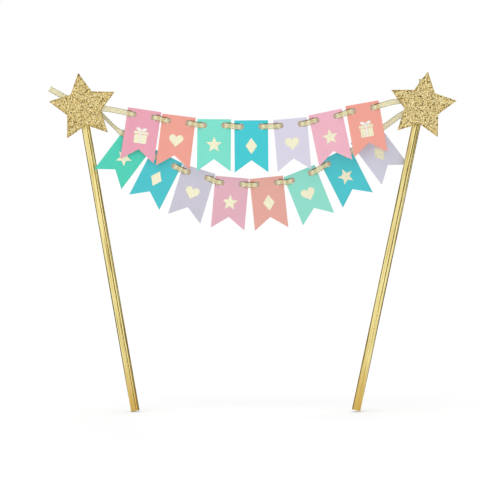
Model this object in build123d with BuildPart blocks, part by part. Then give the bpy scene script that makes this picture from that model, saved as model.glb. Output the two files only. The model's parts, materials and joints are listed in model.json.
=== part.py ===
"""Bunting cake topper: two foil straws, two glitter stars, two ribbons and two rows of card flags."""

import os
from math import asin, atan2, cos, degrees, radians, sin

from build123d import *

os.makedirs("parts", exist_ok=True)

# Straws, in mm and degrees; each leans outwards at the top
STRAW_DIAMETER = 5.6
STRAW_LENGTH = 206.0
CORE_WALL = 0.4
FOIL_PLY = 0.12
GLUE_LINE = 0.02
LEFT_LEAN = 9.9
RIGHT_LEAN = 11.9

# Stars; a drop is measured down the straw from its top end
STAR_RADIUS = 22.3
STAR_NOTCH_RADIUS = 11.5
STAR_THICKNESS = 0.6
STAR_POINTS = 5
LEFT_STAR_DROP = 8.8
LEFT_STAR_SHIFT = 0.9
LEFT_STAR_TURN = -1.5
RIGHT_STAR_DROP = 6.6
RIGHT_STAR_SHIFT = 0.9
RIGHT_STAR_TURN = 2.5

# Foam pads between the stars and the straws; their drop is measured from the middle of the star
PAD_THICKNESS = 1.8
PAD_WIDTH = 7.0
PAD_LENGTH = 7.0
PAD_DROP = 2.6
PAD_HUG = 1.0

# Card flags, measured from the line through the two holes
FLAG_WIDTH = 21.6
FLAG_HEIGHT = 33.4
NOTCH_DEPTH = 7.8
CARD_THICKNESS = 0.3
HOLE_SIDE_INSET = 4.2
HOLE_TOP_INSET = 4.0

# Ribbon and how it lies in the holes
RIBBON_WIDTH = 3.6
RIBBON_THICKNESS = 0.3
HOLE_PLAY = 0.4
CARD_CLEARANCE = 0.1
RAMP_REACH = 0.5
RAMP_BEND = 0.8
STITCH_LAP = 2.0
RUN_LAP = 2.5
RUN_BEND = 3.0

# Ties round the straws
TIE_TURNS = 2
TIE_CLEARANCE = 0.05
LEFT_UPPER_TIE_DROP = 8.6
LEFT_LOWER_TIE_DROP = 2.7
RIGHT_UPPER_TIE_DROP = 2.0
RIGHT_LOWER_TIE_DROP = 6.5

# Free runs of ribbon from the ties to the first and last holes of the upper row
LEFT_RUN = 33.3
LEFT_RUN_FALL = 7.66
RIGHT_RUN = 31.9
RIGHT_RUN_FALL = -10.31

# Bends of the free runs behind the stars, and loose tails, from each tie
UPPER_LEFT_BEND = (14.8, -0.8)
UPPER_RIGHT_BEND = (-16.7, -1.6)
LOWER_LEFT_BENDS = ((7.0, -2.8), (14.3, -11.6))
LOWER_RIGHT_BEND = (-10.7, -4.1)
LEFT_TAIL = (-20.9, 12.0)
RIGHT_TAIL = (-0.2, 12.8)
SHORT_TAIL = (4.5, 1.0)

# Lie of the rows: tilt of each flag, room and fall from one flag to the next
ROW_STEP = 1.5
STRAW_CLEARANCE = 0.3
LOWER_ROW_START = (-4.1, -14.0)
UPPER_TILTS = (8.5, 7.0, 0.5, -0.5, -5.0, -12.0, -10.0)
UPPER_ROOM = (0.9, 1.5, 2.1, 3.6, 1.7, 2.6)
UPPER_FALLS = (12.9, 8.2, 4.0, -2.4, -13.2, -16.3)
LOWER_TILTS = (37.0, 27.0, 17.0, 5.0, -6.0, -22.0, -27.0, -37.0)
LOWER_ROOM = (0.9, 1.0, 1.0, 1.1, 1.2, 4.0, 2.4)
LOWER_FALLS = (33.4, 23.4, 17.9, 0.9, -7.1, -27.7, -38.0)

# Sizes that follow from the ones above
straw_radius = STRAW_DIAMETER / 2
core_radius = straw_radius - FOIL_PLY - GLUE_LINE
bore_radius = core_radius - CORE_WALL
hole_diameter = RIBBON_WIDTH + HOLE_PLAY
hole_pitch = FLAG_WIDTH - 2 * HOLE_SIDE_INSET
flag_foot = HOLE_TOP_INSET - FLAG_HEIGHT
ribbon_lift = CARD_THICKNESS / 2 + CARD_CLEARANCE + RIBBON_THICKNESS / 2
tie_radius = straw_radius + TIE_CLEARANCE
tie_depth = tie_radius + TIE_TURNS * RIBBON_THICKNESS / 2
star_depth = straw_radius + PAD_THICKNESS


def step(length, fall):
    """Way along a ribbon that falls to the right by an angle."""
    return Vector(length, 0).rotate(Axis.Z, -fall)


def string_up(hole, tilts, rooms, falls):
    """Middle of every flag's hole line, from the first hole of a row."""
    middles = []
    for tilt, room, fall in zip(tilts, rooms + (0,), falls + (0,)):
        middles.append(hole + step(hole_pitch / 2, tilt))
        hole += step(hole_pitch, tilt) + step(2 * HOLE_SIDE_INSET + room, fall)
    return middles


# Side view of the whole, x to the right and y up, from the foot of the left straw
left_up = Vector(0, 1).rotate(Axis.Z, LEFT_LEAN)
right_up = Vector(0, 1).rotate(Axis.Z, -RIGHT_LEAN)
left_foot = Vector(0, straw_radius * sin(radians(LEFT_LEAN)))
left_top = left_foot + left_up * STRAW_LENGTH
left_upper_tie = left_top - left_up * LEFT_UPPER_TIE_DROP
left_lower_tie = left_top - left_up * LEFT_LOWER_TIE_DROP
upper_start = left_upper_tie + step(LEFT_RUN, LEFT_RUN_FALL)
lower_start = upper_start + Vector(*LOWER_ROW_START)
upper_middles = string_up(upper_start, UPPER_TILTS, UPPER_ROOM, UPPER_FALLS)
lower_middles = string_up(lower_start, LOWER_TILTS, LOWER_ROOM, LOWER_FALLS)
upper_end = upper_middles[-1] + step(hole_pitch / 2, UPPER_TILTS[-1])
lower_end = lower_middles[-1] + step(hole_pitch / 2, LOWER_TILTS[-1])
right_upper_tie = upper_end + step(RIGHT_RUN, RIGHT_RUN_FALL)
right_top = right_upper_tie + right_up * RIGHT_UPPER_TIE_DROP
right_lower_tie = right_top - right_up * RIGHT_LOWER_TIE_DROP
right_foot = right_top - right_up * STRAW_LENGTH
middle = (left_foot.X + right_foot.X) / 2

# Straw frames, with z up the straw and the origin midway between the feet
left_straw = Plane(Pos(left_foot.X - middle, 0, left_foot.Y) * Rot(0, -LEFT_LEAN, 0))
right_straw = Plane(Pos(right_foot.X - middle, 0, right_foot.Y) * Rot(0, RIGHT_LEAN, 0))

# Upper row hangs in front of both straws
upper_row = Plane(origin=(-middle, -straw_radius - ROW_STEP, 0), x_dir=(1, 0, 0), z_dir=(0, -1, 0))

# Lower row hangs in front of the left straw and behind the right one
left_tip = lower_middles[0] + Vector(-FLAG_WIDTH / 2, flag_foot).rotate(Axis.Z, -LOWER_TILTS[0])
right_tip = lower_middles[-1] + Vector(FLAG_WIDTH / 2, flag_foot).rotate(Axis.Z, -LOWER_TILTS[-1])
lower_middle = (left_tip.X + right_tip.X) / 2
lower_reach = (right_tip.X - left_tip.X) / 2
lower_yaw = asin((straw_radius + STRAW_CLEARANCE + CARD_THICKNESS / 2) / lower_reach)
lower_along = Vector(cos(lower_yaw), sin(lower_yaw), 0)
lower_row = Plane(
    origin=Vector(lower_middle - middle, 0, 0) - lower_along * lower_middle,
    x_dir=lower_along,
    z_dir=(sin(lower_yaw), -cos(lower_yaw), 0),
)


def hang(row, centre, tilt):
    """Plane of one flag, with its origin midway between the holes."""
    return Plane(row.location * Pos(centre.X, centre.Y, 0) * Rot(0, 0, -tilt))


upper_flags = [hang(upper_row, m, t) for m, t in zip(upper_middles, UPPER_TILTS)]
lower_flags = [hang(lower_row, m, t) for m, t in zip(lower_middles, LOWER_TILTS)]

# Straws: a rolled paper core and an outer ply of gold foil paper
for side, frame in (("left", left_straw), ("right", right_straw)):
    with BuildPart() as straw_core:
        with BuildSketch(frame):
            Circle(core_radius)
            Circle(bore_radius, mode=Mode.SUBTRACT)
        extrude(amount=STRAW_LENGTH)
    straw_core.part.label = f"{side}_straw_core"
    export_step(straw_core.part, f"parts/{side}_straw_core.step")

    with BuildPart() as straw_foil:
        with BuildSketch(frame):
            Circle(straw_radius)
            Circle(straw_radius - FOIL_PLY, mode=Mode.SUBTRACT)
        extrude(amount=STRAW_LENGTH)
    straw_foil.part.label = f"{side}_straw_foil"
    export_step(straw_foil.part, f"parts/{side}_straw_foil.step")

# Stars: glitter card, face on to the front, each on a foam pad that hugs its straw
star_places = (
    ("left", left_straw, LEFT_STAR_DROP, LEFT_STAR_SHIFT, LEFT_STAR_TURN),
    ("right", right_straw, RIGHT_STAR_DROP, RIGHT_STAR_SHIFT, RIGHT_STAR_TURN),
)
for side, frame, drop, shift, turn in star_places:
    face = frame.location * Pos(shift, -star_depth, STRAW_LENGTH - drop) * Rot(90, 0, 0)
    corners = []
    for k in range(2 * STAR_POINTS):
        reach = STAR_NOTCH_RADIUS if k % 2 else STAR_RADIUS
        corners.append(Vector(0, reach).rotate(Axis.Z, k * 180 / STAR_POINTS + turn))
    with BuildPart() as star:
        with BuildSketch(Plane(face)):
            with BuildLine():
                Polyline(*corners, close=True)
            make_face()
        extrude(amount=STAR_THICKNESS)
    star.part.label = f"{side}_star"
    export_step(star.part, f"parts/{side}_star.step")

    with BuildPart() as pad:
        with BuildSketch(frame.offset(STRAW_LENGTH - drop - PAD_DROP - PAD_LENGTH)):
            with Locations((0, GLUE_LINE - star_depth)):
                Rectangle(PAD_WIDTH, PAD_THICKNESS + PAD_HUG, align=(Align.CENTER, Align.MIN))
            Circle(straw_radius + GLUE_LINE, mode=Mode.SUBTRACT)
        extrude(amount=PAD_LENGTH)
    pad.part.label = f"{side}_star_pad"
    export_step(pad.part, f"parts/{side}_star_pad.step")

# Flags: swallow-tail cards with two punched holes
flag_planes = {f"upper_flag_{n}": p for n, p in enumerate(upper_flags, 1)}
flag_planes |= {f"lower_flag_{n}": p for n, p in enumerate(lower_flags, 1)}
for name, plane in flag_planes.items():
    with BuildPart() as flag:
        with BuildSketch(plane):
            with BuildLine():
                Polyline(
                    (-FLAG_WIDTH / 2, HOLE_TOP_INSET),
                    (FLAG_WIDTH / 2, HOLE_TOP_INSET),
                    (FLAG_WIDTH / 2, flag_foot),
                    (0, flag_foot + NOTCH_DEPTH),
                    (-FLAG_WIDTH / 2, flag_foot),
                    close=True,
                )
            make_face()
            with GridLocations(hole_pitch, 0, 2, 1):
                Circle(hole_diameter / 2, mode=Mode.SUBTRACT)
        extrude(amount=CARD_THICKNESS / 2, both=True)
    flag.part.label = name
    export_step(flag.part, f"parts/{name}.step")


def thread(flag_plane, left_flat, right_flat):
    """Ribbon in at one hole of a flag, behind the card and out at the other."""
    half = hole_pitch / 2
    with BuildSketch(Plane(flag_plane.location * Rot(90, 0, 0))) as section:
        with BuildLine():
            FilletPolyline(
                (-half - left_flat, ribbon_lift),
                (-half - RAMP_REACH, ribbon_lift),
                (-half + RAMP_REACH, -ribbon_lift),
                (half - RAMP_REACH, -ribbon_lift),
                (half + RAMP_REACH, ribbon_lift),
                (half + right_flat, ribbon_lift),
                radius=RAMP_BEND,
            )
        trace(line_width=RIBBON_THICKNESS)
    extrude(section.sketch, amount=RIBBON_WIDTH / 2, both=True)


def stitch(row, start, end):
    """Ribbon across the front from one flag to the next."""
    way = end - start
    with BuildSketch(row.offset(ribbon_lift)) as strip:
        with Locations((start + end) / 2):
            Rectangle(way.length, RIBBON_WIDTH, rotation=degrees(atan2(way.Y, way.X)))
    extrude(strip.sketch, amount=RIBBON_THICKNESS / 2, both=True)


def weave(row, flags, middles, tilts):
    """Ribbon through a whole row, lapping each flag's ends."""
    half = hole_pitch / 2
    last = len(flags) - 1
    for n, plane in enumerate(flags):
        left_flat = HOLE_SIDE_INSET + RUN_LAP if n == 0 else STITCH_LAP
        right_flat = HOLE_SIDE_INSET + RUN_LAP if n == last else STITCH_LAP
        thread(plane, left_flat, right_flat)
    for n in range(last):
        start = middles[n] + step(half + STITCH_LAP * 0.7, tilts[n])
        end = middles[n + 1] - step(half + STITCH_LAP * 0.7, tilts[n + 1])
        stitch(row, start, end)


def run(tie, depth, row, end, tail):
    """Flat ribbon from a row's end to a straw's front or back, and its loose tail."""
    away = row.offset(ribbon_lift).from_local_coords((end[-1].X, end[-1].Y, 0))
    here = Vector(tie.X - middle, depth, 0)
    along = Vector(away.X - here.X, away.Y - here.Y, 0).normalized()
    along = along if along.X > 0 else -along
    sheet = Plane(origin=here, x_dir=along, z_dir=(along.Y, -along.X, 0))
    points = [(p.X - tie.X, p.Y) for p in (tie + Vector(*tail), tie, *end)]
    with BuildSketch(sheet) as strip:
        with BuildLine():
            FilletPolyline(*[(x / along.X, y) for x, y in points], radius=RUN_BEND)
        trace(line_width=RIBBON_WIDTH)
    extrude(strip.sketch, amount=RIBBON_THICKNESS / 2, both=True)


def tie_round(straw, drop):
    """Turns of ribbon round a straw."""
    with BuildSketch(straw.offset(STRAW_LENGTH - drop)) as ring:
        Circle(tie_radius + TIE_TURNS * RIBBON_THICKNESS)
        Circle(tie_radius, mode=Mode.SUBTRACT)
    extrude(ring.sketch, amount=RIBBON_WIDTH / 2, both=True)


# Where the free runs meet the rows, just outside the first and last flags
row_lap = HOLE_SIDE_INSET + RUN_LAP
upper_left_end = upper_start - step(row_lap, UPPER_TILTS[0])
upper_right_end = upper_end + step(row_lap, UPPER_TILTS[-1])
lower_left_end = lower_start - step(row_lap, LOWER_TILTS[0])
lower_right_end = lower_end + step(row_lap, LOWER_TILTS[-1])

# Upper ribbon: tied on the front of both straws, with a tail at each
with BuildPart() as upper_ribbon:
    weave(upper_row, upper_flags, upper_middles, UPPER_TILTS)
    left_bend = left_upper_tie + Vector(*UPPER_LEFT_BEND)
    run(left_upper_tie, -tie_depth, upper_row, [left_bend, upper_left_end], LEFT_TAIL)
    right_bend = right_upper_tie + Vector(*UPPER_RIGHT_BEND)
    run(right_upper_tie, -tie_depth, upper_row, [right_bend, upper_right_end], RIGHT_TAIL)
    tie_round(left_straw, LEFT_UPPER_TIE_DROP)
    tie_round(right_straw, RIGHT_UPPER_TIE_DROP)
upper_ribbon.part.label = "upper_ribbon"
export_step(upper_ribbon.part, "parts/upper_ribbon.step")

# Lower ribbon: tied on the back of both straws, with a short end at each
with BuildPart() as lower_ribbon:
    weave(lower_row, lower_flags, lower_middles, LOWER_TILTS)
    left_bends = [left_lower_tie + Vector(*bend) for bend in LOWER_LEFT_BENDS]
    run(left_lower_tie, tie_depth, lower_row, [*left_bends, lower_left_end], (-SHORT_TAIL[0], SHORT_TAIL[1]))
    right_bend = right_lower_tie + Vector(*LOWER_RIGHT_BEND)
    run(right_lower_tie, tie_depth, lower_row, [right_bend, lower_right_end], SHORT_TAIL)
    tie_round(left_straw, LEFT_LOWER_TIE_DROP)
    tie_round(right_straw, RIGHT_LOWER_TIE_DROP)
lower_ribbon.part.label = "lower_ribbon"
export_step(lower_ribbon.part, "parts/lower_ribbon.step")
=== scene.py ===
"""Bunting cake topper: foil straws, glitter stars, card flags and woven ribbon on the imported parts."""
import json
import math
import random

import bpy
from mathutils import Matrix, Vector


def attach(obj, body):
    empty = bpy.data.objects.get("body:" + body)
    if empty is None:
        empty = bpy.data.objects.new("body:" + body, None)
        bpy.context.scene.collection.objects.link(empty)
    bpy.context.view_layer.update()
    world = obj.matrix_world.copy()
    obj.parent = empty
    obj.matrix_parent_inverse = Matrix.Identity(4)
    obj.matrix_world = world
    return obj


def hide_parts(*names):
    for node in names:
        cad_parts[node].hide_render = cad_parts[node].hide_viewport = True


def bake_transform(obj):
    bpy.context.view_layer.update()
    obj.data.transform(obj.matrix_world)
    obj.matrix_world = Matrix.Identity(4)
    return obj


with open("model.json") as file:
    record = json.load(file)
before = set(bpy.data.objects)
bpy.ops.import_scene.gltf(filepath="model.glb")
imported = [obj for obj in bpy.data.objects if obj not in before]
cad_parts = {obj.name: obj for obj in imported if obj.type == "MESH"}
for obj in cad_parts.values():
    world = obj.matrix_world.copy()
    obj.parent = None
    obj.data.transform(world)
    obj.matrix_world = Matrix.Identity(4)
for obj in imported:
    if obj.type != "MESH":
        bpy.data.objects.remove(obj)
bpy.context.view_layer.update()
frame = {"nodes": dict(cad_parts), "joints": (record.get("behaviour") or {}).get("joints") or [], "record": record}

# Studio: a long lens square on to the flags, a white floor running back into a white room, and
# broad soft light. Dark boards that only reflections see put the streaks into the metal.
scene = bpy.context.scene
scene.view_settings.view_transform = "Standard"

VIEW_WIDTH = 0.3072
CAMERA_PLACE = (-0.00367, -1.5, 0.11007)
FLAGS_DEPTH = -0.004
SENSOR_WIDTH = 36
AMBIENT = 0.36
FLOOR_SIZE = 60
FLOOR_DROP = 0.0001

camera_data = bpy.data.cameras.new("camera")
camera_data.sensor_width = SENSOR_WIDTH
camera_data.lens = SENSOR_WIDTH * (FLAGS_DEPTH - CAMERA_PLACE[1]) / VIEW_WIDTH
camera = bpy.data.objects.new("camera", camera_data)
camera.location = CAMERA_PLACE
camera.rotation_euler = (math.radians(90), 0, 0)
scene.collection.objects.link(camera)
scene.camera = camera


def srgb(red, green, blue):
    """A colour given as 0 to 255 on a screen, in the shader's own scale."""
    shares = [c / 255 for c in (red, green, blue)]
    return (*[c / 12.92 if c < 0.04045 else ((c + 0.055) / 1.055) ** 2.4 for c in shares], 1)


def put(tree, kind, settings=None, **inputs):
    """Adds a node to a tree; an input is a value or another node's output."""
    node = tree.nodes.new("ShaderNode" + kind)
    for key, value in (settings or {}).items():
        setattr(node, key, value)
    for key, value in inputs.items():
        socket = node.inputs[int(key[1:]) if key[0] == "_" else key.replace("_", " ")]
        if isinstance(value, bpy.types.NodeSocket):
            tree.links.new(value, socket)
        else:
            socket.default_value = value
    return node


def sums(tree, operation, first, second=0.0, third=0.0, clamp=False):
    """What a sum makes of up to three numbers in a tree."""
    how = {"operation": operation, "use_clamp": clamp}
    return put(tree, "Math", how, _0=first, _1=second, _2=third).outputs[0]


def tinted(tree, share, first, second):
    """A colour between two others."""
    return put(tree, "Mix", {"data_type": "RGBA"}, _0=share, _6=first, _7=second).outputs[2]


def on_piece(tree):
    """Where a point lies in its piece's own frame, in metres."""
    return put(tree, "TexCoord").outputs["Object"]


def noise(tree, spot, scale, detail=2.0, rough=0.5):
    """Soft random patches, as a number."""
    return put(tree, "TexNoise", Vector=spot, Scale=scale, Detail=detail, Roughness=rough).outputs[0]


def feed(node, **outputs):
    """Links the outputs of other nodes to a node's sockets."""
    for key, output in outputs.items():
        node.id_data.links.new(output, node.inputs[key.replace("_", " ")])


def new_finish(name, **values):
    """A material with its shader, whose plain values are set at once."""
    finish = bpy.data.materials.new(name)
    finish.use_nodes = True
    shader = finish.node_tree.nodes["Principled BSDF"]
    for key, value in values.items():
        shader.inputs[key.replace("_", " ")].default_value = value
    return finish, finish.node_tree, shader


room = bpy.data.worlds.new("white_room")
scene.world = room
room.use_nodes = True
sky = room.node_tree
background = sky.nodes["Background"]
background.inputs["Color"].default_value = (1, 1, 1, 1)
rays = put(sky, "LightPath").outputs
seen = sums(sky, "ADD", rays["Is Camera Ray"], rays["Is Glossy Ray"])
seen = sums(sky, "ADD", seen, rays["Is Transmission Ray"], clamp=True)
feed(background, Strength=sums(sky, "MULTIPLY_ADD", seen, 1 - AMBIENT, AMBIENT))


def soft_sun(name, towards, strength, spread, shines_back=False):
    """A broad even light that shines one way, and shows in metal or not."""
    data = bpy.data.lights.new(name, "SUN")
    data.energy = strength
    data.angle = math.radians(spread)
    lamp = bpy.data.objects.new(name, data)
    lamp.rotation_euler = Vector(towards).to_track_quat("-Z", "Y").to_euler()
    lamp.visible_glossy = shines_back
    scene.collection.objects.link(lamp)


soft_sun("key", (0.42, 0.72, -0.55), 0.78, 60)
soft_sun("fill", (-0.55, 0.8, -0.15), 0.3, 70, shines_back=True)
soft_sun("top", (0.05, 0.1, -1), 1.3, 70)
soft_sun("back", (-0.3, -0.8, -0.5), 0.9, 60)


def deselect():
    """Leaves nothing selected before a new piece is added."""
    bpy.ops.object.select_all(action="DESELECT")


deselect()
bpy.ops.mesh.primitive_plane_add(size=FLOOR_SIZE, location=(0, 0, -FLOOR_DROP))
floor = bpy.context.object
floor.name = "floor"
floor_finish, tree, shader = new_finish("white_floor", Roughness=0.7, Specular_IOR_Level=0.0)
grain = noise(tree, on_piece(tree), 3.0)
feed(shader, Base_Color=tinted(tree, grain, srgb(246, 246, 246), srgb(252, 252, 252)))
floor.data.materials.append(floor_finish)

# Standing boards, by their angle round from the camera to the right, how far off and how wide, and
# boards lying behind the feet, by how far right and back, which the lower ends of the straws mirror
STANDING = ((25, 0.9, 0.36), (80, 0.9, 0.34), (-128, 0.38, 0.32), (130, 0.38, 0.34))
STANDING_HEIGHT = 1.2
STANDING_MIDDLE = 0.15
LYING = ((-0.34, 0.27), (0.34, 0.27))
LYING_SIZE = (0.48, 0.44)
LYING_LIFT = 0.0008

board_finish, tree, shader = new_finish("dark_board", Roughness=0.9)
grain = noise(tree, on_piece(tree), 5.0)
feed(shader, Base_Color=tinted(tree, grain, srgb(78, 62, 34), srgb(92, 76, 48)))
lies = []
for turn, off, wide in STANDING:
    turned = Matrix.Rotation(math.radians(turn), 4, "Z") @ Matrix.Translation((0, -off, STANDING_MIDDLE))
    raised = turned @ Matrix.Rotation(math.radians(90), 4, "X")
    lies.append(raised @ Matrix.Diagonal((wide, STANDING_HEIGHT, 1, 1)))
for across, back in LYING:
    lies.append(Matrix.Translation((across, back, LYING_LIFT)) @ Matrix.Diagonal((*LYING_SIZE, 1, 1)))
for number, lie in enumerate(lies, 1):
    deselect()
    bpy.ops.mesh.primitive_plane_add(size=1)
    board = bpy.context.object
    board.name = f"dark_board_{number}"
    board.data.transform(lie)
    board.data.materials.append(board_finish)
    board.visible_camera = board.visible_diffuse = board.visible_shadow = False

# Straws: each is a rolled paper tube with an outer ply of gold foil paper wound round it at a
# slant, so that the foil's edges meet in one long spiral seam. Both ends are cut square.
MM = 0.001
STRAW_RADIUS = 2.8
FOIL_THICKNESS = 0.1
FOIL_LEAD = 21.0
FOIL_SIDES = 72
SEAM_DIP = 0.025
# Shares of the foil's width at which it has points, close together where its edges dip to the seam
SEAM_SHARES = (0, 0.008, 0.022, 0.12, 0.3, 0.5, 0.7, 0.88, 0.978, 0.992, 1)
# How far round each straw's foil is turned, so that the two aren't streaked alike
FOIL_TURNS = {"left": 0, "right": 100}
# Heights between which the foil fades up from the deeper gold of the foot
FOOT_HEIGHTS = (4.0, 38.0)


def straw_mount(side):
    """The record's bore mount of a straw, which says where the straw stands."""
    return next(m for m in frame["record"]["mounts"] if m["name"] == f"{side}_straw_bore")


def straw_place(side):
    """Frame of a straw in mm: z up the straw, y to the back, origin at its foot."""
    bore = straw_mount(side)
    up = -Vector(bore["axis"]).normalized()
    back = Vector((0, 1, 0))
    place = Matrix((back.cross(up), back, up)).transposed().to_4x4()
    place.translation = Vector(bore["pos_m"]) - up * bore["dims"]["length_mm"] * MM / 2
    return place @ Matrix.Scale(MM, 4)


straws = {side: straw_place(side) for side in ("left", "right")}
STRAW_LENGTH = straw_mount("left")["dims"]["length_mm"]


def pick(piece, inside):
    """Opens a piece for editing with the points selected for which inside holds."""
    bpy.context.view_layer.objects.active = piece
    bpy.ops.object.mode_set(mode="EDIT")
    bpy.ops.mesh.select_mode(type="VERT")
    bpy.ops.mesh.select_all(action="DESELECT")
    bpy.ops.object.mode_set(mode="OBJECT")
    for point in piece.data.vertices:
        point.select = inside(point.co)
    bpy.ops.object.mode_set(mode="EDIT")


def pick_all(piece):
    """Opens a piece for editing with all its points selected."""
    pick(piece, lambda p: True)


def close_edit():
    """Goes back from editing to the whole piece."""
    bpy.ops.object.mode_set(mode="OBJECT")


def work(piece, kind, **settings):
    """Puts a modifier on a piece and applies it."""
    modifier = piece.modifiers.new(kind.lower(), kind)
    for key, value in settings.items():
        setattr(modifier, key, value)
    bpy.context.view_layer.objects.active = piece
    bpy.ops.object.modifier_apply(modifier=modifier.name)


def keep_local(piece, name, turn):
    """Keeps where each point lies on the unplaced piece, in mm and turned, for its pattern to follow."""
    local = piece.data.attributes.new(name, "FLOAT_VECTOR", "POINT")
    turned = Matrix.Rotation(math.radians(turn), 3, "Z")
    for number, point in enumerate(piece.data.vertices):
        local.data[number].vector = turned @ point.co


def settle(piece, name, place, body, angle=35):
    """Names a finished piece, puts its mesh in place and rides it on its body."""
    piece.name = piece.data.name = name
    deselect()
    piece.select_set(True)
    bpy.context.view_layer.objects.active = piece
    bpy.ops.object.shade_smooth_by_angle(angle=math.radians(angle))
    piece.data.transform(place)
    piece.data.update()
    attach(piece, body)


def graded(tree, value, stops):
    """A colour graded by a number along stops in rising order."""
    node = put(tree, "ValToRGB", _0=value)
    bar = node.color_ramp.elements
    bar.remove(bar[1])
    bar[0].position, bar[0].color = stops[0]
    for place, tone in stops[1:]:
        bar.new(place).color = tone
    return node.outputs[0]


def ranged(tree, value, low, high, first=0.0, last=1.0):
    """A number carried from one range to another and held at its ends."""
    return put(tree, "MapRange", _0=value, _1=low, _2=high, _3=first, _4=last).outputs[0]


def emboss(shader, height, strength, depth):
    """Raises a finish by a number on its surface, as far as a depth in metres."""
    bump = put(shader.id_data, "Bump", Strength=strength, Distance=depth, Height=height)
    feed(shader, Normal=bump.outputs[0])


foil_finish, tree, shader = new_finish("gold_foil_paper", Metallic=1.0)
local = put(tree, "Attribute", {"attribute_name": "on_straw"}).outputs["Vector"]
long_way = put(tree, "Mapping", Vector=local, Scale=(1.0, 1.0, 0.018)).outputs[0]
painted_streaks = noise(tree, long_way, 1.5, detail=4.0, rough=0.6)
fine_way = put(tree, "Mapping", Vector=local, Scale=(1.0, 1.0, 0.015)).outputs[0]
hairs = noise(tree, fine_way, 5.0, detail=3.0, rough=0.6)
crumple = noise(tree, local, 0.35, detail=3.0)
# The foil's gold carries long painted streaks, dark and light, that stand in for reflections beside those of the
# dark boards
gold_and_painted_streaks = graded(tree, painted_streaks, (
    (0.36, srgb(160, 136, 72)), (0.45, srgb(228, 208, 134)), (0.62, srgb(250, 236, 168))))
height = put(tree, "SeparateXYZ", Vector=local).outputs["Z"]
foot_share = ranged(tree, height, *FOOT_HEIGHTS, 0.8, 0.0)
feed(shader, Base_Color=tinted(tree, foot_share, gold_and_painted_streaks, srgb(202, 162, 74)))
feed(shader, Roughness=ranged(tree, hairs, 0.3, 0.7, 0.06, 0.16))
emboss(shader, sums(tree, "MULTIPLY_ADD", hairs, 0.35, crumple), 0.12, 0.0004)

for side, place in straws.items():
    deselect()
    bpy.ops.mesh.primitive_plane_add(size=FOIL_LEAD)
    ply = bpy.context.object
    pick(ply, lambda p: p.x > 0)
    bpy.ops.mesh.delete(type="VERT")
    bpy.ops.mesh.select_all(action="SELECT")
    bpy.ops.mesh.subdivide(number_cuts=len(SEAM_SHARES) - 2)
    close_edit()
    for point, share in zip(sorted(ply.data.vertices, key=lambda v: v.co.y), SEAM_SHARES):
        dip = SEAM_DIP if share in (0, 1) else 0.0
        point.co = (STRAW_RADIUS - dip, 0, (share - 1) * FOIL_LEAD)
    work(ply, "SCREW", screw_offset=FOIL_LEAD, steps=FOIL_SIDES, render_steps=FOIL_SIDES,
         iterations=math.ceil(STRAW_LENGTH / FOIL_LEAD) + 2)
    pick_all(ply)
    bpy.ops.mesh.remove_doubles(threshold=0.0005)
    bpy.ops.mesh.bisect(plane_co=(0, 0, 0), plane_no=(0, 0, 1), clear_inner=True)
    bpy.ops.mesh.select_all(action="SELECT")
    bpy.ops.mesh.bisect(plane_co=(0, 0, STRAW_LENGTH), plane_no=(0, 0, 1), clear_outer=True)
    bpy.ops.mesh.select_all(action="SELECT")
    bpy.ops.mesh.normals_make_consistent(inside=False)
    close_edit()
    work(ply, "SOLIDIFY", thickness=FOIL_THICKNESS, offset=-1)
    keep_local(ply, "on_straw", FOIL_TURNS[side])
    ply.data.materials.append(foil_finish)
    settle(ply, f"{side}_foil_ply", place, "poles", angle=60)
    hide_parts(f"{side}_straw_foil")

# Paper: the straws' rolled cores, and later the cards, are plain uncoated paper. Its fine pulp and
# faint mottle are one node group, which each paper uses in its own two tones.
fibre = bpy.data.node_groups.new("paper_fibre", "ShaderNodeTree")
for name, kind in (("Tone", "Color"), ("Pale", "Color"), ("Grain", "Float")):
    fibre.interface.new_socket(name=name, in_out="INPUT", socket_type="NodeSocket" + kind)
for name, kind in (("Color", "Color"), ("Height", "Float")):
    fibre.interface.new_socket(name=name, in_out="OUTPUT", socket_type="NodeSocket" + kind)
given = fibre.nodes.new("NodeGroupInput").outputs
made = fibre.nodes.new("NodeGroupOutput")
spot = on_piece(fibre)
pulp = noise(fibre, spot, given["Grain"], detail=5.0, rough=0.7)
mottle = noise(fibre, spot, 130.0, detail=3.0)
share = sums(fibre, "MULTIPLY_ADD", pulp, 0.45, sums(fibre, "MULTIPLY", mottle, 0.6))
feed(made, Color=tinted(fibre, share, given["Tone"], given["Pale"]), Height=pulp)


def paper_finish(name, tone, pale, grain=3200.0, rough=0.62):
    """Matt card or paper with its fibres."""
    finish, tree, shader = new_finish(name, Roughness=rough)
    fibres = tree.nodes.new("ShaderNodeGroup")
    fibres.node_tree = fibre
    for key, value in (("Tone", tone), ("Pale", pale), ("Grain", grain)):
        fibres.inputs[key].default_value = value
    feed(shader, Base_Color=fibres.outputs["Color"])
    emboss(shader, fibres.outputs["Height"], 0.16, 0.00003)
    return finish


core_finish = paper_finish("rolled_paper", srgb(214, 202, 176), srgb(244, 238, 222))
for side in straws:
    core = frame["nodes"][f"{side}_straw_core"]
    core.data.materials.clear()
    core.data.materials.append(core_finish)

# Foam pads: small squares of double-sided foam that hold each star off the front of its straw,
# pressed round the straw at the back and swollen a little at the sides.
PAD_WIDTH = 7.0
PAD_LENGTH = 7.0
PAD_FRONT = -4.58
PAD_BACK = -1.78
PAD_EDGE = 0.2
PAD_CUTS = 7
PAD_SWELL = 0.035
PAD_HOLLOW_RADIUS = STRAW_RADIUS + 0.03
# How far down its star a pad starts
PAD_DROP = 2.6
# Drop down the straw, shift to the right and turn, of each star
STAR_LIES = {"left": (8.8, 0.9, -1.5), "right": (6.6, 0.9, 2.5)}

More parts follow.
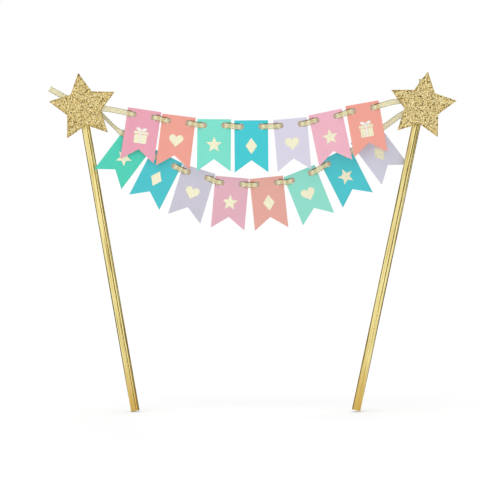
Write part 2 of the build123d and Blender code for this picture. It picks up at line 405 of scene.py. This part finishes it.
foam_finish, tree, shader = new_finish("foam", Roughness=0.85)
cells = put(tree, "TexVoronoi", Vector=on_piece(tree), Scale=3800.0).outputs["Distance"]
feed(shader, Base_Color=tinted(tree, cells, srgb(226, 226, 224), srgb(246, 246, 244)))
emboss(shader, cells, 0.5, 0.00006)

for side, place in straws.items():
    deselect()
    bpy.ops.mesh.primitive_cube_add(size=1)
    pad = bpy.context.object
    pad.data.transform(Matrix.Diagonal((PAD_WIDTH, PAD_BACK - PAD_FRONT, PAD_LENGTH, 1)))
    work(pad, "BEVEL", width=PAD_EDGE, segments=2)
    pick_all(pad)
    bpy.ops.mesh.subdivide(number_cuts=PAD_CUTS)
    close_edit()
    for point in pad.data.vertices:
        deep = point.co.y / (PAD_BACK - PAD_FRONT) + 0.5
        swell = 1 + PAD_SWELL * (1 - (2 * deep - 1) ** 2)
        across = point.co.x * swell
        rear = PAD_BACK
        if abs(across) < PAD_HOLLOW_RADIUS:
            rear = min(rear, -math.sqrt(PAD_HOLLOW_RADIUS ** 2 - across ** 2))
        point.co = (across, PAD_FRONT + (rear - PAD_FRONT) * deep, point.co.z * swell)
    top = STRAW_LENGTH - STAR_LIES[side][0] - PAD_DROP
    pad.data.transform(Matrix.Translation((0, 0, top - PAD_LENGTH / 2)))
    pad.data.materials.append(foam_finish)
    settle(pad, f"{side}_foam_pad", place, "poles")
    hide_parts(f"{side}_star_pad")

# Stars: punched from card that is coated all over its front with coarse gold glitter, flat hexagon
# flakes bedded in glue at every angle. The back is bare card.
STAR_RADIUS = 22.3
STAR_NOTCH_RADIUS = 11.5
STAR_THICKNESS = 0.6
STAR_DEPTH = 4.6
STAR_EDGE = 0.07
FLAKES = 3400
FLAKE_SIZES = (0.3, 0.55)
FLAKE_TILTS = (2, 20)
FLAKE_THICKNESS = 0.03
FLAKE_LIFT = 0.04
# How much of a tilted flake's lower half stands out of the glue, at least and at most
FLAKE_RISES = (0.55, 0.95)
# Mean and spread of the tints of each star's flakes, from dark to light
FLAKE_TINTS = {"left": (0.55, 0.3), "right": (0.65, 0.38)}
# How far inside the outline the flakes start and the painted shade round the rim ends, and the tint that a flake
# in that shade keeps
GLITTER_INSET = 0.25
PAINTED_SHADE_RIM_INSET = 0.85
RIM_PAINTED_SHADE = 0.68

star_back = paper_finish("star_card_back", srgb(222, 214, 196), srgb(246, 242, 232))
bed_finish, tree, shader = new_finish("glitter_bed", Metallic=0.85, Roughness=0.42)
grains = put(tree, "TexVoronoi", Vector=on_piece(tree), Scale=2400.0)
tone = put(tree, "SeparateColor", Color=grains.outputs["Color"]).outputs[0]
feed(shader, Base_Color=tinted(tree, tone, srgb(126, 102, 50), srgb(224, 202, 132)))
emboss(shader, grains.outputs["Distance"], 0.9, 0.0002)

flake_finish, tree, shader = new_finish("gold_glitter", Metallic=1.0)
tint = put(tree, "Attribute", {"attribute_name": "flake_tint"}).outputs["Fac"]
feed(shader, Base_Color=graded(tree, tint, (
    (0.0, srgb(96, 74, 34)), (0.22, srgb(172, 146, 84)), (0.45, srgb(226, 202, 136)),
    (0.75, srgb(248, 228, 164)), (1.0, srgb(255, 246, 200)))))
feed(shader, Roughness=ranged(tree, tint, 0.0, 1.0, 0.5, 0.62))
emboss(shader, noise(tree, on_piece(tree), 4000.0), 0.1, 0.00002)


def star_corner(number, turn, inset=0.0):
    """One of a star's ten corners, tips and notches in turn."""
    reach = STAR_NOTCH_RADIUS - inset if number % 2 else STAR_RADIUS - 2 * inset
    angle = math.radians(number * 36 + turn)
    return Vector((-math.sin(angle) * reach, math.cos(angle) * reach))


def in_star(point, corners):
    """Whether a point lies inside a star's outline."""
    inside = False
    for a, b in zip(corners, corners[1:] + corners[:1]):
        if (a.y > point.y) != (b.y > point.y):
            if point.x < a.x + (point.y - a.y) * (b.x - a.x) / (b.y - a.y):
                inside = not inside
    return inside


def scatter_flakes(dice, tints_about, corners, heart):
    """Points, faces and tints of a star's flakes, tilted hexagons with a painted shade round the rim."""
    points, faces, tints = [], [], []
    span = (-STAR_RADIUS, STAR_RADIUS)
    while len(faces) < FLAKES:
        middle = Vector((dice.uniform(*span), dice.uniform(*span)))
        size = dice.uniform(*FLAKE_SIZES)
        tilt = math.radians(dice.uniform(*FLAKE_TILTS))
        lean, spin = dice.uniform(0, math.tau), dice.uniform(0, math.tau)
        tint = min(1.0, max(0.0, dice.gauss(*tints_about)))
        if not in_star(middle, corners):
            continue
        # Flakes outside the heart are tinted darker: painted shade along the star's edge
        if not in_star(middle, heart):
            tint *= RIM_PAINTED_SHADE
        lift = STAR_THICKNESS + FLAKE_LIFT + size * math.sin(tilt) * dice.uniform(*FLAKE_RISES)
        turn = Matrix.Rotation(lean, 3, "Z") @ Matrix.Rotation(tilt, 3, "X") @ Matrix.Rotation(spin, 3, "Z")
        for corner in range(6):
            angle = corner * math.pi / 3
            arm = turn @ Vector((math.cos(angle), math.sin(angle), 0)) * size
            points.append(arm + Vector((*middle, lift)))
            tints.append(tint)
        faces.append(range(len(points) - 6, len(points)))
    return points, faces, tints


for side, place in straws.items():
    drop, shift, turn = STAR_LIES[side]
    face = place @ Matrix.Translation((shift, -STAR_DEPTH, STRAW_LENGTH - drop))
    face = face @ Matrix.Rotation(math.radians(90), 4, "X")
    deselect()
    bpy.ops.mesh.primitive_circle_add(vertices=10, radius=STAR_RADIUS, fill_type="NGON")
    star = bpy.context.object
    for number, point in enumerate(star.data.vertices):
        point.co = (*star_corner(number, turn), 0)
    pick_all(star)
    bpy.ops.mesh.extrude_region_move(TRANSFORM_OT_translate={"value": (0, 0, STAR_THICKNESS)})
    bpy.ops.mesh.select_all(action="SELECT")
    bpy.ops.mesh.normals_make_consistent(inside=False)
    close_edit()
    work(star, "BEVEL", width=STAR_EDGE, segments=2, limit_method="ANGLE", angle_limit=math.radians(60))
    star.data.materials.append(star_back)
    star.data.materials.append(bed_finish)
    for side_face in star.data.polygons:
        side_face.material_index = 1 if side_face.normal.z > -0.5 else 0
    settle(star, f"{side}_star_card", face, "poles")
    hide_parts(f"{side}_star")

    dice = random.Random(f"{side} glitter")
    corners = [star_corner(number, turn, GLITTER_INSET) for number in range(10)]
    # Inside this outline the flakes take no painted shade
    heart = [star_corner(number, turn, PAINTED_SHADE_RIM_INSET) for number in range(10)]
    points, faces, tints = scatter_flakes(dice, FLAKE_TINTS[side], corners, heart)
    mesh = bpy.data.meshes.new(f"{side}_star_glitter")
    mesh.from_pydata(points, [], faces)
    mesh.attributes.new("flake_tint", "FLOAT", "POINT").data.foreach_set("value", tints)
    glitter = bpy.data.objects.new(f"{side}_star_glitter", mesh)
    scene.collection.objects.link(glitter)
    work(glitter, "SOLIDIFY", thickness=FLAKE_THICKNESS, offset=0)
    mesh.materials.append(flake_finish)
    settle(glitter, f"{side}_star_glitter", face, "poles", angle=20)

# Flags: swallow-tail cards cut from pastel card, each with two punched holes for the ribbon. The
# colour is on the front, the back is the paler bare side, and the cards curl a little at the foot.
FLAG_WIDTH = 21.6
FLAG_TOP = 4.0
FLAG_FOOT = -29.4
FLAG_NOTCH = 7.8
CARD_THICKNESS = 0.3
CARD_EDGE = 0.05
CARD_CELLS = (16, 22)
HOLE_APART = 13.2
HOLE_RADIUS = 2.0
# Card colours: coral, mint, teal and lilac are the card's own; the other tones are lighter and darker copies of
# the card colours, painted light and painted shade on single flags and on the whole lower row, whose plain pink is
# painted shade too
CARD_TONES = {
    "pink": (228, 176, 190),
    "pink_painted_shade": (235, 164, 182),
    "pink_painted_light": (240, 180, 197),
    "coral": (241, 162, 146),
    "coral_painted_shade": (230, 168, 155),
    "mint": (124, 226, 205),
    "mint_deep_painted_shade": (78, 211, 184),
    "mint_painted_shade": (142, 222, 203),
    "teal": (62, 203, 212),
    "teal_painted_shade": (72, 197, 205),
    "lilac": (218, 213, 230),
    "lilac_painted_shade": (204, 200, 214),
    "lilac_lighter_painted_shade": (209, 208, 224),
}
# How far a card's fibres are lighter or darker than its tone, and how much of it the back has lost
TONE_SPREAD = 5
BACK_FADE = 0.45
ROWS = {
    "upper": (
        "pink_painted_shade", "coral", "mint", "teal", "lilac", "pink_painted_light", "coral"),
    "lower": (
        "mint_deep_painted_shade", "teal_painted_shade", "lilac_painted_shade", "pink", "coral_painted_shade", "mint_painted_shade", "teal_painted_shade", "lilac_lighter_painted_shade"),
}
# How far the foot of a row's cards curls to the front, and one corner more than the other
FOOT_CURLS = {"upper": (0.05, 0.4), "lower": (-0.12, 0.12)}
CORNER_CURLS = (-0.12, 0.12)

card_looks = {}
for tone, colour in CARD_TONES.items():
    pair = [[max(0, c - TONE_SPREAD) for c in colour], [min(255, c + TONE_SPREAD) for c in colour]]
    faded = [[c + (255 - c) * BACK_FADE for c in side] for side in pair]
    front = paper_finish(f"card_{tone}", *[srgb(*c) for c in pair])
    back = paper_finish(f"card_{tone}_back", *[srgb(*c) for c in faded], rough=0.8)
    card_looks[tone] = (front, back)


def flag_place(name):
    """Frame of a flag in mm: x along its holes, y up the card, z to the front."""
    hinge = next(j for j in frame["joints"] if j["child"] == name)
    along = Vector(hinge["axis"]).normalized()
    level = Vector((along.x, along.y, 0)).normalized()
    front = Vector((level.y, -level.x, 0))
    place = Matrix((along, front.cross(along), front)).transposed().to_4x4()
    place.translation = hinge["pos_m"]
    return place @ Matrix.Scale(MM, 4)


flags = {}
for row, tones in ROWS.items():
    flags[row] = [flag_place(f"{row}_flag_{number}") for number in range(1, len(tones) + 1)]


def curl_card(mesh, curl):
    """Curls the foot of a card, and what is printed on it, to the front."""
    forward, corner = curl
    for point in mesh.vertices:
        down = max(0.0, point.co.y / FLAG_FOOT)
        side = 2 * point.co.x / FLAG_WIDTH
        point.co.z += down ** 2 * (forward + corner * side)


deselect()
bpy.ops.mesh.primitive_grid_add(x_subdivisions=CARD_CELLS[0], y_subdivisions=CARD_CELLS[1], size=1)
blank = bpy.context.object
for point in blank.data.vertices:
    side, down = 2 * point.co.x, 0.5 - point.co.y
    foot = FLAG_FOOT + FLAG_NOTCH * (1 - abs(side))
    point.co = (side * FLAG_WIDTH / 2, FLAG_TOP + (foot - FLAG_TOP) * down, 0)
work(blank, "SOLIDIFY", thickness=CARD_THICKNESS, offset=0)
work(blank, "BEVEL", width=CARD_EDGE, segments=2, limit_method="ANGLE", angle_limit=math.radians(50))
for end in (-1, 1):
    deselect()
    hole = (end * HOLE_APART / 2, 0, 0)
    bpy.ops.mesh.primitive_cylinder_add(vertices=48, radius=HOLE_RADIUS, depth=2, location=hole)
    punch = bpy.context.object
    work(blank, "BOOLEAN", operation="DIFFERENCE", object=punch, solver="EXACT")
    bpy.data.objects.remove(punch)
blank.data.name = "blank_card"

dice = random.Random("curl of the cards")
curls = {}
for row, tones in ROWS.items():
    for number, tone in enumerate(tones, 1):
        card = bpy.data.objects.new("card", blank.data.copy())
        scene.collection.objects.link(card)
        curls[row, number] = (dice.uniform(*FOOT_CURLS[row]), dice.uniform(*CORNER_CURLS))
        curl_card(card.data, curls[row, number])
        for finish in card_looks[tone]:
            card.data.materials.append(finish)
        for side_face in card.data.polygons:
            side_face.material_index = 0 if side_face.normal.z > 0.5 else 1
        body = f"{row}_flag_{number}"
        settle(card, f"{row}_card_{number}", flags[row][number - 1], body)
        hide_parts(body)
bpy.data.objects.remove(blank)

# Print: one plain shape on each flag, hot-stamped in pale gold foil that stands a hair above the
# card. The two end flags of the upper row have a wrapped box with a bow in gold and white.
PRINT_DROP = 12.4
PRINT_LIFT = CARD_THICKNESS / 2 + 0.02
PRINT_THICKNESS = 0.05
HEART_STEPS = 48
HEART_SCALE = 0.285
HEART_RISE = 2.5
STAR_PRINT_RADIUS = 5.3
STAR_PRINT_NOTCH = 2.35
PRINTS = {
    "upper": ("box", "heart", "star", "diamond", "heart", "star", "box"),
    "lower": ("star", "diamond", "heart", "star", "diamond", "heart", "star", "diamond"),
}

print_finish, tree, shader = new_finish("stamped_foil", Metallic=0.45, Alpha=0.92)
patchy = noise(tree, on_piece(tree), 420.0, detail=4.0)
feed(shader, Base_Color=tinted(tree, patchy, srgb(247, 242, 196), srgb(255, 252, 230)))
feed(shader, Roughness=ranged(tree, patchy, 0.3, 0.7, 0.22, 0.38))
emboss(shader, patchy, 0.1, 0.00004)
ink_finish = paper_finish("white_ink", srgb(240, 238, 230), srgb(255, 254, 250), rough=0.5)


def heart_line():
    """Outline of a heart, 9 mm across."""
    line = []
    for step in range(HEART_STEPS):
        t = math.tau * step / HEART_STEPS
        across = 16 * math.sin(t) ** 3
        rise = 13 * math.cos(t) - 5 * math.cos(2 * t) - 2 * math.cos(3 * t) - math.cos(4 * t)
        line.append((across * HEART_SCALE, (rise + HEART_RISE) * HEART_SCALE))
    return line[::-1]


def round_line(wide, tall, x, y, turn=0.0, steps=28):
    """Outline of an oval or, with few steps, of a lozenge."""
    turned = Matrix.Rotation(math.radians(turn), 2)
    line = []
    for step in range(steps):
        t = math.tau * step / steps
        spot = turned @ Vector((wide / 2 * math.cos(t), tall / 2 * math.sin(t)))
        line.append((spot.x + x, spot.y + y))
    return line


def block_line(wide, tall, x, y):
    """Outline of a rectangle."""
    return [(x + a * wide / 2, y + b * tall / 2) for a, b in ((-1, -1), (1, -1), (1, 1), (-1, 1))]


def star_line():
    """Outline of a small star, 10 mm across."""
    line = []
    for step in range(10):
        reach = STAR_PRINT_NOTCH if step % 2 else STAR_PRINT_RADIUS
        angle = step * math.pi / 5
        line.append((-reach * math.sin(angle), reach * math.cos(angle)))
    return line


# Outlines of each print, in foil and in white ink
PRINT_LINES = {
    "heart": ([heart_line()], []),
    "star": ([star_line()], []),
    "diamond": ([round_line(7.4, 10.4, 0, 0, steps=4)], []),
    "box": (
        [block_line(3.5, 5.6, -2.3, -2.6), block_line(3.5, 5.6, 2.3, -2.6),
         block_line(4.0, 1.7, -2.55, 1.4), block_line(4.0, 1.7, 2.55, 1.4)],
        [block_line(0.9, 7.65, 0, -1.575), round_line(3.6, 1.9, -1.75, 3.5, -24),
         round_line(3.6, 1.9, 1.75, 3.5, 24), round_line(1.3, 1.3, 0, 2.95)],
    ),
}


def stamp(name, outlines, finish, place, body, curl):
    """Presses outlines on to a flag as one thin film."""
    films = []
    for line in outlines:
        deselect()
        bpy.ops.mesh.primitive_circle_add(vertices=len(line), fill_type="NGON")
        film = bpy.context.object
        for point, (x, y) in zip(film.data.vertices, line):
            point.co = (x, y - PRINT_DROP, PRINT_LIFT)
        films.append(film)
    for film in films:
        film.select_set(True)
    if len(films) > 1:
        bpy.ops.object.join()
    film = bpy.context.object
    pick_all(film)
    bpy.ops.mesh.extrude_region_move(TRANSFORM_OT_translate={"value": (0, 0, PRINT_THICKNESS)})
    bpy.ops.mesh.select_all(action="SELECT")
    bpy.ops.mesh.normals_make_consistent(inside=False)
    close_edit()
    curl_card(film.data, curl)
    film.data.materials.append(finish)
    settle(film, name, place, body)


for row, prints in PRINTS.items():
    for number, shape in enumerate(prints, 1):
        place, body, curl = flags[row][number - 1], f"{row}_flag_{number}", curls[row, number]
        foil_lines, ink_lines = PRINT_LINES[shape]
        stamp(f"{row}_print_{number}", foil_lines, print_finish, place, body, curl)
        if ink_lines:
            stamp(f"{row}_ink_{number}", ink_lines, ink_finish, place, body, curl)

# Ribbons: narrow flat ribbon woven from pale gold metal thread with a corded edge. Each runs through
# its flags, in front across the gaps and behind the cards, and is wound round both straws.
RIBBON_WIDTH = 3.6
# Half of the ribbon's section, thickness and height, from the top edge down
SECTION = (
    (0, 1.8), (0.11, 1.73), (0.14, 1.57), (0.09, 1.32),
    (0.08, 0), (0.09, -1.32), (0.14, -1.57), (0.11, -1.73),
)
SECTION += tuple((-x, -y) for x, y in SECTION)
WEFT_PITCH = 0.36
WARP_PITCH = 0.5
# Length of one twist of the corded edges, and how far from the middle the cord starts and is full
EDGE_PITCH = 2.2
EDGE_CORD = (1.36, 1.64)
# How far below the top edge the painted shade on the upper edge starts and is full
TOP_SHADE_BAND = (0.6, 0.36)

ribbon_finish, tree, shader = new_finish("gold_ribbon", Metallic=0.55)
lie = put(tree, "Attribute", {"attribute_name": "on_ribbon"}).outputs["Vector"]
along, across, painted_shade = put(tree, "SeparateXYZ", Vector=lie).outputs
weft = sums(tree, "SINE", sums(tree, "MULTIPLY", along, math.tau / WEFT_PITCH))
warp = sums(tree, "SINE", sums(tree, "MULTIPLY", across, math.tau / WARP_PITCH))
weave = sums(tree, "MULTIPLY", weft, warp)
threads = tinted(tree, ranged(tree, weave, -1.0, 1.0), srgb(226, 215, 146), srgb(250, 241, 190))
# Pale patches along the threads are painted glints
glint_along = sums(tree, "MULTIPLY", along, 0.9)
glint_across = sums(tree, "MULTIPLY", across, 3.0)
glint_way = put(tree, "CombineXYZ", X=glint_along, Y=glint_across).outputs[0]
painted_glint = ranged(tree, noise(tree, glint_way, 1.0, detail=3.0), 0.45, 0.75)
threads = tinted(tree, painted_glint, threads, srgb(250, 246, 214))
edge = sums(tree, "ABSOLUTE", sums(tree, "SUBTRACT", across, RIBBON_WIDTH / 2))
edge = ranged(tree, edge, *EDGE_CORD)
twist = sums(tree, "SINE", sums(tree, "MULTIPLY", along, math.tau / EDGE_PITCH))
twist = ranged(tree, twist, -0.5, 0.5, 0.35, 1.0)
corded = tinted(tree, sums(tree, "MULTIPLY", edge, twist), threads, srgb(126, 104, 60))
# The upper edge near the holes takes a painted shade in dark brown, for the shadow where the ribbon bends to them
top_edge_shade = ranged(tree, across, RIBBON_WIDTH - TOP_SHADE_BAND[0], RIBBON_WIDTH - TOP_SHADE_BAND[1])
shaded = tinted(tree, sums(tree, "MULTIPLY", top_edge_shade, painted_shade), corded, srgb(112, 74, 28))
# Where it dips through a hole it takes a painted shade in darker brown, for the shade inside the hole
hole_shade_share = ranged(tree, painted_shade, 1.0, 2.0, 0.0, 0.7)
feed(shader, Base_Color=tinted(tree, hole_shade_share, shaded, srgb(166, 116, 40)))
feed(shader, Roughness=ranged(tree, weave, -1.0, 1.0, 0.5, 0.3))
open_weave = ranged(tree, weave, -1.0, 1.0, 0.3, 0.9)
feed(shader, Alpha=sums(tree, "MAXIMUM", open_weave, edge))
emboss(shader, weave, 0.6, 0.00008)

LINE_STEPS = 8


def smooth_line(route):
    """Points along the smooth line that a route draws, read from its curve."""
    curve = bpy.data.curves.new("route", "CURVE")
    curve.dimensions = "3D"
    line = curve.splines.new("NURBS")
    line.points.add(len(route) - 1)
    for point, place in zip(line.points, route):
        point.co = (*place, 1)
    line.order_u = 3
    line.use_endpoint_u = True
    line.resolution_u = LINE_STEPS
    drawn = bpy.data.objects.new("route", curve)
    mesh = bpy.data.meshes.new_from_object(drawn)
    points = [point.co.copy() for point in mesh.vertices]
    bpy.data.meshes.remove(mesh)
    bpy.data.objects.remove(drawn)
    bpy.data.curves.remove(curve)
    return points


def ribbon_rings(line, edge_way):
    """The ribbon's section at every point of its line, and how far along each is, in mm."""
    rings, runs = [], [0.0]
    for before, after in zip(line, line[1:]):
        runs.append(runs[-1] + (after - before).length / MM)
    for number, point in enumerate(line):
        way = (line[min(number + 1, len(line) - 1)] - line[max(number - 1, 0)]).normalized()
        up = edge_way(point, way)
        up = (up - way * up.dot(way)).normalized()
        out = way.cross(up)
        rings.append([point + (out * x + up * y) * MM for x, y in SECTION])
    return rings, runs


def ribbon_piece(name, rings, runs, first, last, painted_shades=None):
    """A length of the ribbon, from one of its rings to another, closed at both ends."""
    count = len(SECTION)
    points, faces, lies = [], [], []
    for number in range(first, last + 1):
        points += rings[number]
        for x, y in SECTION:
            lies += [runs[number], y + RIBBON_WIDTH / 2, painted_shades[number] if painted_shades else 0]
    for number in range(last - first):
        for k in range(count):
            a, b = number * count + k, number * count + (k + 1) % count
            faces.append((a, a + count, b + count, b))
    faces.append(tuple(range(count)))
    faces.append(tuple(reversed(range(len(points) - count, len(points)))))
    mesh = bpy.data.meshes.new(name)
    mesh.from_pydata(points, [], faces)
    mesh.attributes.new("on_ribbon", "FLOAT_VECTOR", "POINT").data.foreach_set("vector", lies)
    mesh.materials.append(ribbon_finish)
    piece = bpy.data.objects.new(name, mesh)
    scene.collection.objects.link(piece)
    pick_all(piece)
    bpy.ops.mesh.normals_make_consistent(inside=False)
    close_edit()
    deselect()
    piece.select_set(True)
    bpy.ops.object.shade_smooth_by_angle(angle=math.radians(50))
    return piece


def nearest_ring(line, place):
    """Number of the ring nearest to a place."""
    return min(range(len(line)), key=lambda number: (line[number] - place).length)


# How far from a hole's middle the painted shade on the upper edge ends, and the length over which it fades
TOP_SHADE_REACH = 6.4
TOP_SHADE_FADE = 1.8
# How far inside a hole's middle the painted shade in the hole starts and ends, the length over which it comes, and
# how far off the card the ribbon may lie there
HOLE_SHADE_START = -0.7
HOLE_SHADE_END = 2.3
HOLE_SHADE_FADE = 1.5
HOLE_SHADE_DEPTH = 1


def painted_edge_shades(line, places):
    """How much painted shade the ribbon's upper edge takes at every point of its line, all of it near a hole."""
    holes = [place @ Vector((end * HOLE_APART / 2, 0, 0)) for place in places for end in (-1, 1)]
    gaps = [min((point - hole).length for hole in holes) / MM for point in line]
    return [min(1.0, max(0.0, (TOP_SHADE_REACH - gap) / TOP_SHADE_FADE)) for gap in gaps]


def painted_hole_shades(line, places):
    """How much painted shade the ribbon takes at every point of its line, most where it dips behind a card."""
    hole_shades = [0.0] * len(line)
    for place in places:
        flat = place.inverted()
        for number, point in enumerate(line):
            spot = flat @ point
            inside = HOLE_APART / 2 - abs(spot.x)
            near = abs(spot.y) < HOLE_RADIUS and abs(spot.z) < HOLE_SHADE_DEPTH
            if near and HOLE_SHADE_START < inside < HOLE_SHADE_END:
                hole_shades[number] = min(1.0, (inside - HOLE_SHADE_START) / HOLE_SHADE_FADE)
    return hole_shades


# Ribbon's way in through a hole: how far outside the hole's middle, and how far in front of the card
HOLE_WAY = ((3.0, 0.62), (0.8, 0.4), (-0.8, -0.4), (-2.4, -0.42))
# How far in front of the cards it stands over a gap
GAP_BOW = 1.1
# How far above the first and last flag's line of holes it leaves each row, and the share at the hole
LIFTS = {"upper": (0.5, 0.8), "lower": (-0.7, -0.7)}
HOLE_LIFT = 0.4
# How far past the outer hole, and in front of the card, it leaves the row
ROW_LAP = 6.7
ROW_FRONT = 0.5


def through_flags(row):
    """Route of the ribbon through a whole row, and the places where it is parted."""
    half = HOLE_APART / 2
    edge = FLAG_WIDTH / 2
    steps = [(-half - out, front) for out, front in HOLE_WAY]
    steps += [(half + out, front) for out, front in reversed(HOLE_WAY)]
    places = flags[row]
    route, parts = [], []
    for number, place in enumerate(places):
        if number:
            ends = places[number - 1] @ Vector((edge, 0, GAP_BOW)), place @ Vector((-edge, 0, GAP_BOW))
            gap = (ends[0] + ends[1]) / 2
            route.append(gap)
            parts.append(gap)
        rises = [0.0] * len(steps)
        if number == 0:
            rises[0] = HOLE_LIFT * LIFTS[row][0]
        if number == len(places) - 1:
            rises[-1] = HOLE_LIFT * LIFTS[row][1]
        route += [place @ Vector((x, rise, front)) for (x, front), rise in zip(steps, rises)]
        parts.append(place @ Vector((0, 0, HOLE_WAY[-1][1])))
    return route, parts


def row_ends(row):
    """Places where the ribbon comes to a row's first flag and leaves its last."""
    leave = HOLE_APART / 2 + ROW_LAP
    first = flags[row][0] @ Vector((-leave, LIFTS[row][0], ROW_FRONT))
    last = flags[row][-1] @ Vector((leave, LIFTS[row][1], ROW_FRONT))
    return first, last


# Drop of each tie down its straw, and the radius of the turns, one over the other
TIE_DROPS = {("upper", "left"): 8.6, ("upper", "right"): 2.0, ("lower", "left"): 2.7, ("lower", "right"): 6.5}
FIRST_TURN = 3.0
SECOND_TURN = 3.38
# Corners of a turn stand this far apart at most, and out so far that the smooth line keeps its radius
TURN_STEP = 60


def round_straw(row, side, corners):
    """Corners of a turn round a straw: the angle from its right to its back, the rise and the radius."""
    height = STRAW_LENGTH - TIE_DROPS[row, side]
    places = []
    for angle, rise, radius in corners:
        reach = radius / math.cos(math.radians(TURN_STEP / 2))
        turned = math.radians(angle)
        spot = Vector((reach * math.cos(turned), reach * math.sin(turned), height + rise))
        places.append(straws[side] @ spot)
    return places


def from_tie(row, side, steps):
    """Places to the right of, behind and above the middle of a tie, in mm."""
    middle = straws[side] @ Vector((0, 0, STRAW_LENGTH - TIE_DROPS[row, side]))
    return [middle + Vector(step) * MM for step in steps]


upper_route, upper_parts = through_flags("upper")
lower_route, lower_parts = through_flags("lower")
upper_in, upper_out = row_ends("upper")
lower_in, lower_out = row_ends("lower")

# Upper ribbon's ends: a loose tail and a turn round the left straw, most of a turn round the right
upper_left = from_tie("upper", "left", ((-20.9, -1.95, 12.0), (-11.5, -2.8, 6.8), (-4.4, -3.55, 3.5)))
upper_left += round_straw("upper", "left", (
    (-60, 2.0, SECOND_TURN), (0, 1.9, 3.15), (60, 1.45, FIRST_TURN),
    (120, 0.85, FIRST_TURN), (180, 0.3, FIRST_TURN), (240, 0, FIRST_TURN)))
upper_left += from_tie("upper", "left", [(14.8, -4.0, -0.6)]) + [upper_in]
upper_right = [upper_out] + from_tie("upper", "right", [(-16.7, -4.0, -1.5)])
upper_right += round_straw("upper", "right", (
    (-60, 0.03, FIRST_TURN), (0, 0.08, FIRST_TURN), (60, 0.14, FIRST_TURN),
    (120, 0.19, FIRST_TURN), (180, 0.25, FIRST_TURN), (228, 0.3, FIRST_TURN)))

# Lower ribbon's ends: a turn round the back of each straw, with a short end left over
lower_turn = [(angle, 0, FIRST_TURN) for angle in (60, 0, -60, -120, -180, -240)]
lower_left = from_tie("lower", "left", ((-4.5, 3.42, 1.0), (-2.4, 3.42, 0.5)))
lower_left += round_straw("lower", "left", [(60, 0.1, SECOND_TURN)] + lower_turn[1:])
lower_bends = from_tie("lower", "left", ((7.0, 1.9, -2.4), (14.3, -0.35, -11.1)))
lower_left += lower_bends + [lower_in]
lower_right = [lower_out] + from_tie("lower", "right", [(-10.7, 2.6, -4.1)])
lower_right += round_straw("lower", "right", lower_turn[:-1] + [(-240, 0.1, SECOND_TURN)])
lower_right += from_tie("lower", "right", ((2.4, 3.42, 0.5), (4.5, 3.42, 1.0)))

# How far the lower ribbon is turned on its way down from the left star to its first flag, the shares of
# that way over which the turn comes and goes, and how far before the hole it ends
HALF_TURN = 40
TURN_COMES = 0.3
TURN_GOES = 0.25
TURN_END = 2.2


def upright(point, way):
    """The ribbon's edge points up."""
    return Vector((0, 0, 1))


def sideways(point, way):
    """The ribbon's edge points to the right."""
    return Vector((1, 0, 0))


def half_turned(point, way):
    """The ribbon's edge points up, apart from the turn on the way to the first flag."""
    start, end = lower_bends[0], flags["lower"][0] @ Vector((-HOLE_APART / 2 - TURN_END, 0, ROW_FRONT))
    share = (point - start).dot(end - start) / (end - start).length_squared
    eased = 0.0
    if point.x < end.x:
        eased = min(1.0, max(0.0, min(share / TURN_COMES, (1 - share) / TURN_GOES)))
    turn = math.radians(HALF_TURN) * eased * eased * (3 - 2 * eased)
    return Matrix.Rotation(turn, 3, way) @ Vector((0, 0, 1))


ROUTES = {"upper": (upper_left, upper_route, upper_right), "lower": (lower_left, lower_route, lower_right)}
EDGE_WAYS = {"upper": upright, "lower": half_turned}
CUTS = {"upper": (upper_in, *upper_parts, upper_out), "lower": (lower_in, *lower_parts, lower_out)}
# Places past each hole and in front of the card, which the lengths of ribbon below work out and leave unused
HOLD_REACH = 3.6
HOLD_FRONT = 0.4

# The upper ribbon's last length stands up behind the right star, its cut corner just in view
tail_route = from_tie("upper", "right", ((0.4, -3.42, -1.2), (0.1, -3.45, 4.5), (-0.3, -3.55, 12.8)))
tail_line = smooth_line(tail_route)
tail_rings, tail_runs = ribbon_rings(tail_line, sideways)
tail = ribbon_piece("upper_ribbon_right_tail", tail_rings, tail_runs, 0, len(tail_line) - 1)
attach(tail, "poles")
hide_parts("upper_ribbon")

for row, (before, middle, after) in ROUTES.items():
    line = smooth_line(before + middle + after)
    rings, runs = ribbon_rings(line, EDGE_WAYS[row])
    # Painted shade at each point of the ribbon: on its upper edge near the holes, and more where it dips through a
    # hole
    painted_shades = [top_edge_shade + dip for top_edge_shade, dip in zip(painted_edge_shades(line, flags[row]), painted_hole_shades(line, flags[row]))]
    cuts = [nearest_ring(line, place) for place in CUTS[row]]
    node = f"{row}_ribbon"
    # Loose ends, from the row to the straw and round it
    for side, first, last, leaves in (
        ("left", 0, cuts[0], cuts[0]),
        ("right", cuts[-1], len(line) - 1, cuts[-1]),
    ):
        end = ribbon_piece(f"{row}_ribbon_{side}_end", rings, runs, first, last, painted_shades)
        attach(end, "poles")
        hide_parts(node)
    # Two lengths for each flag, parted behind the card's middle, at the gaps between flags and at the row's ends,
    # each baked in place
    for number, place in enumerate(flags[row], 1):
        body = f"{row}_flag_{number}"
        start, behind, end = cuts[2 * number - 2:2 * number + 1]
        hold = HOLE_APART / 2 + HOLD_REACH
        for name, first, last, still, turned in (
            ("in", start, behind, line[start], place @ Vector((-hold, 0, HOLD_FRONT))),
            ("out", behind, end, line[end], place @ Vector((hold, 0, HOLD_FRONT))),
        ):
            piece = ribbon_piece(f"{row}_ribbon_{number}_{name}", rings, runs, first, last, painted_shades)
            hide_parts(node)
            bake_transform(piece)
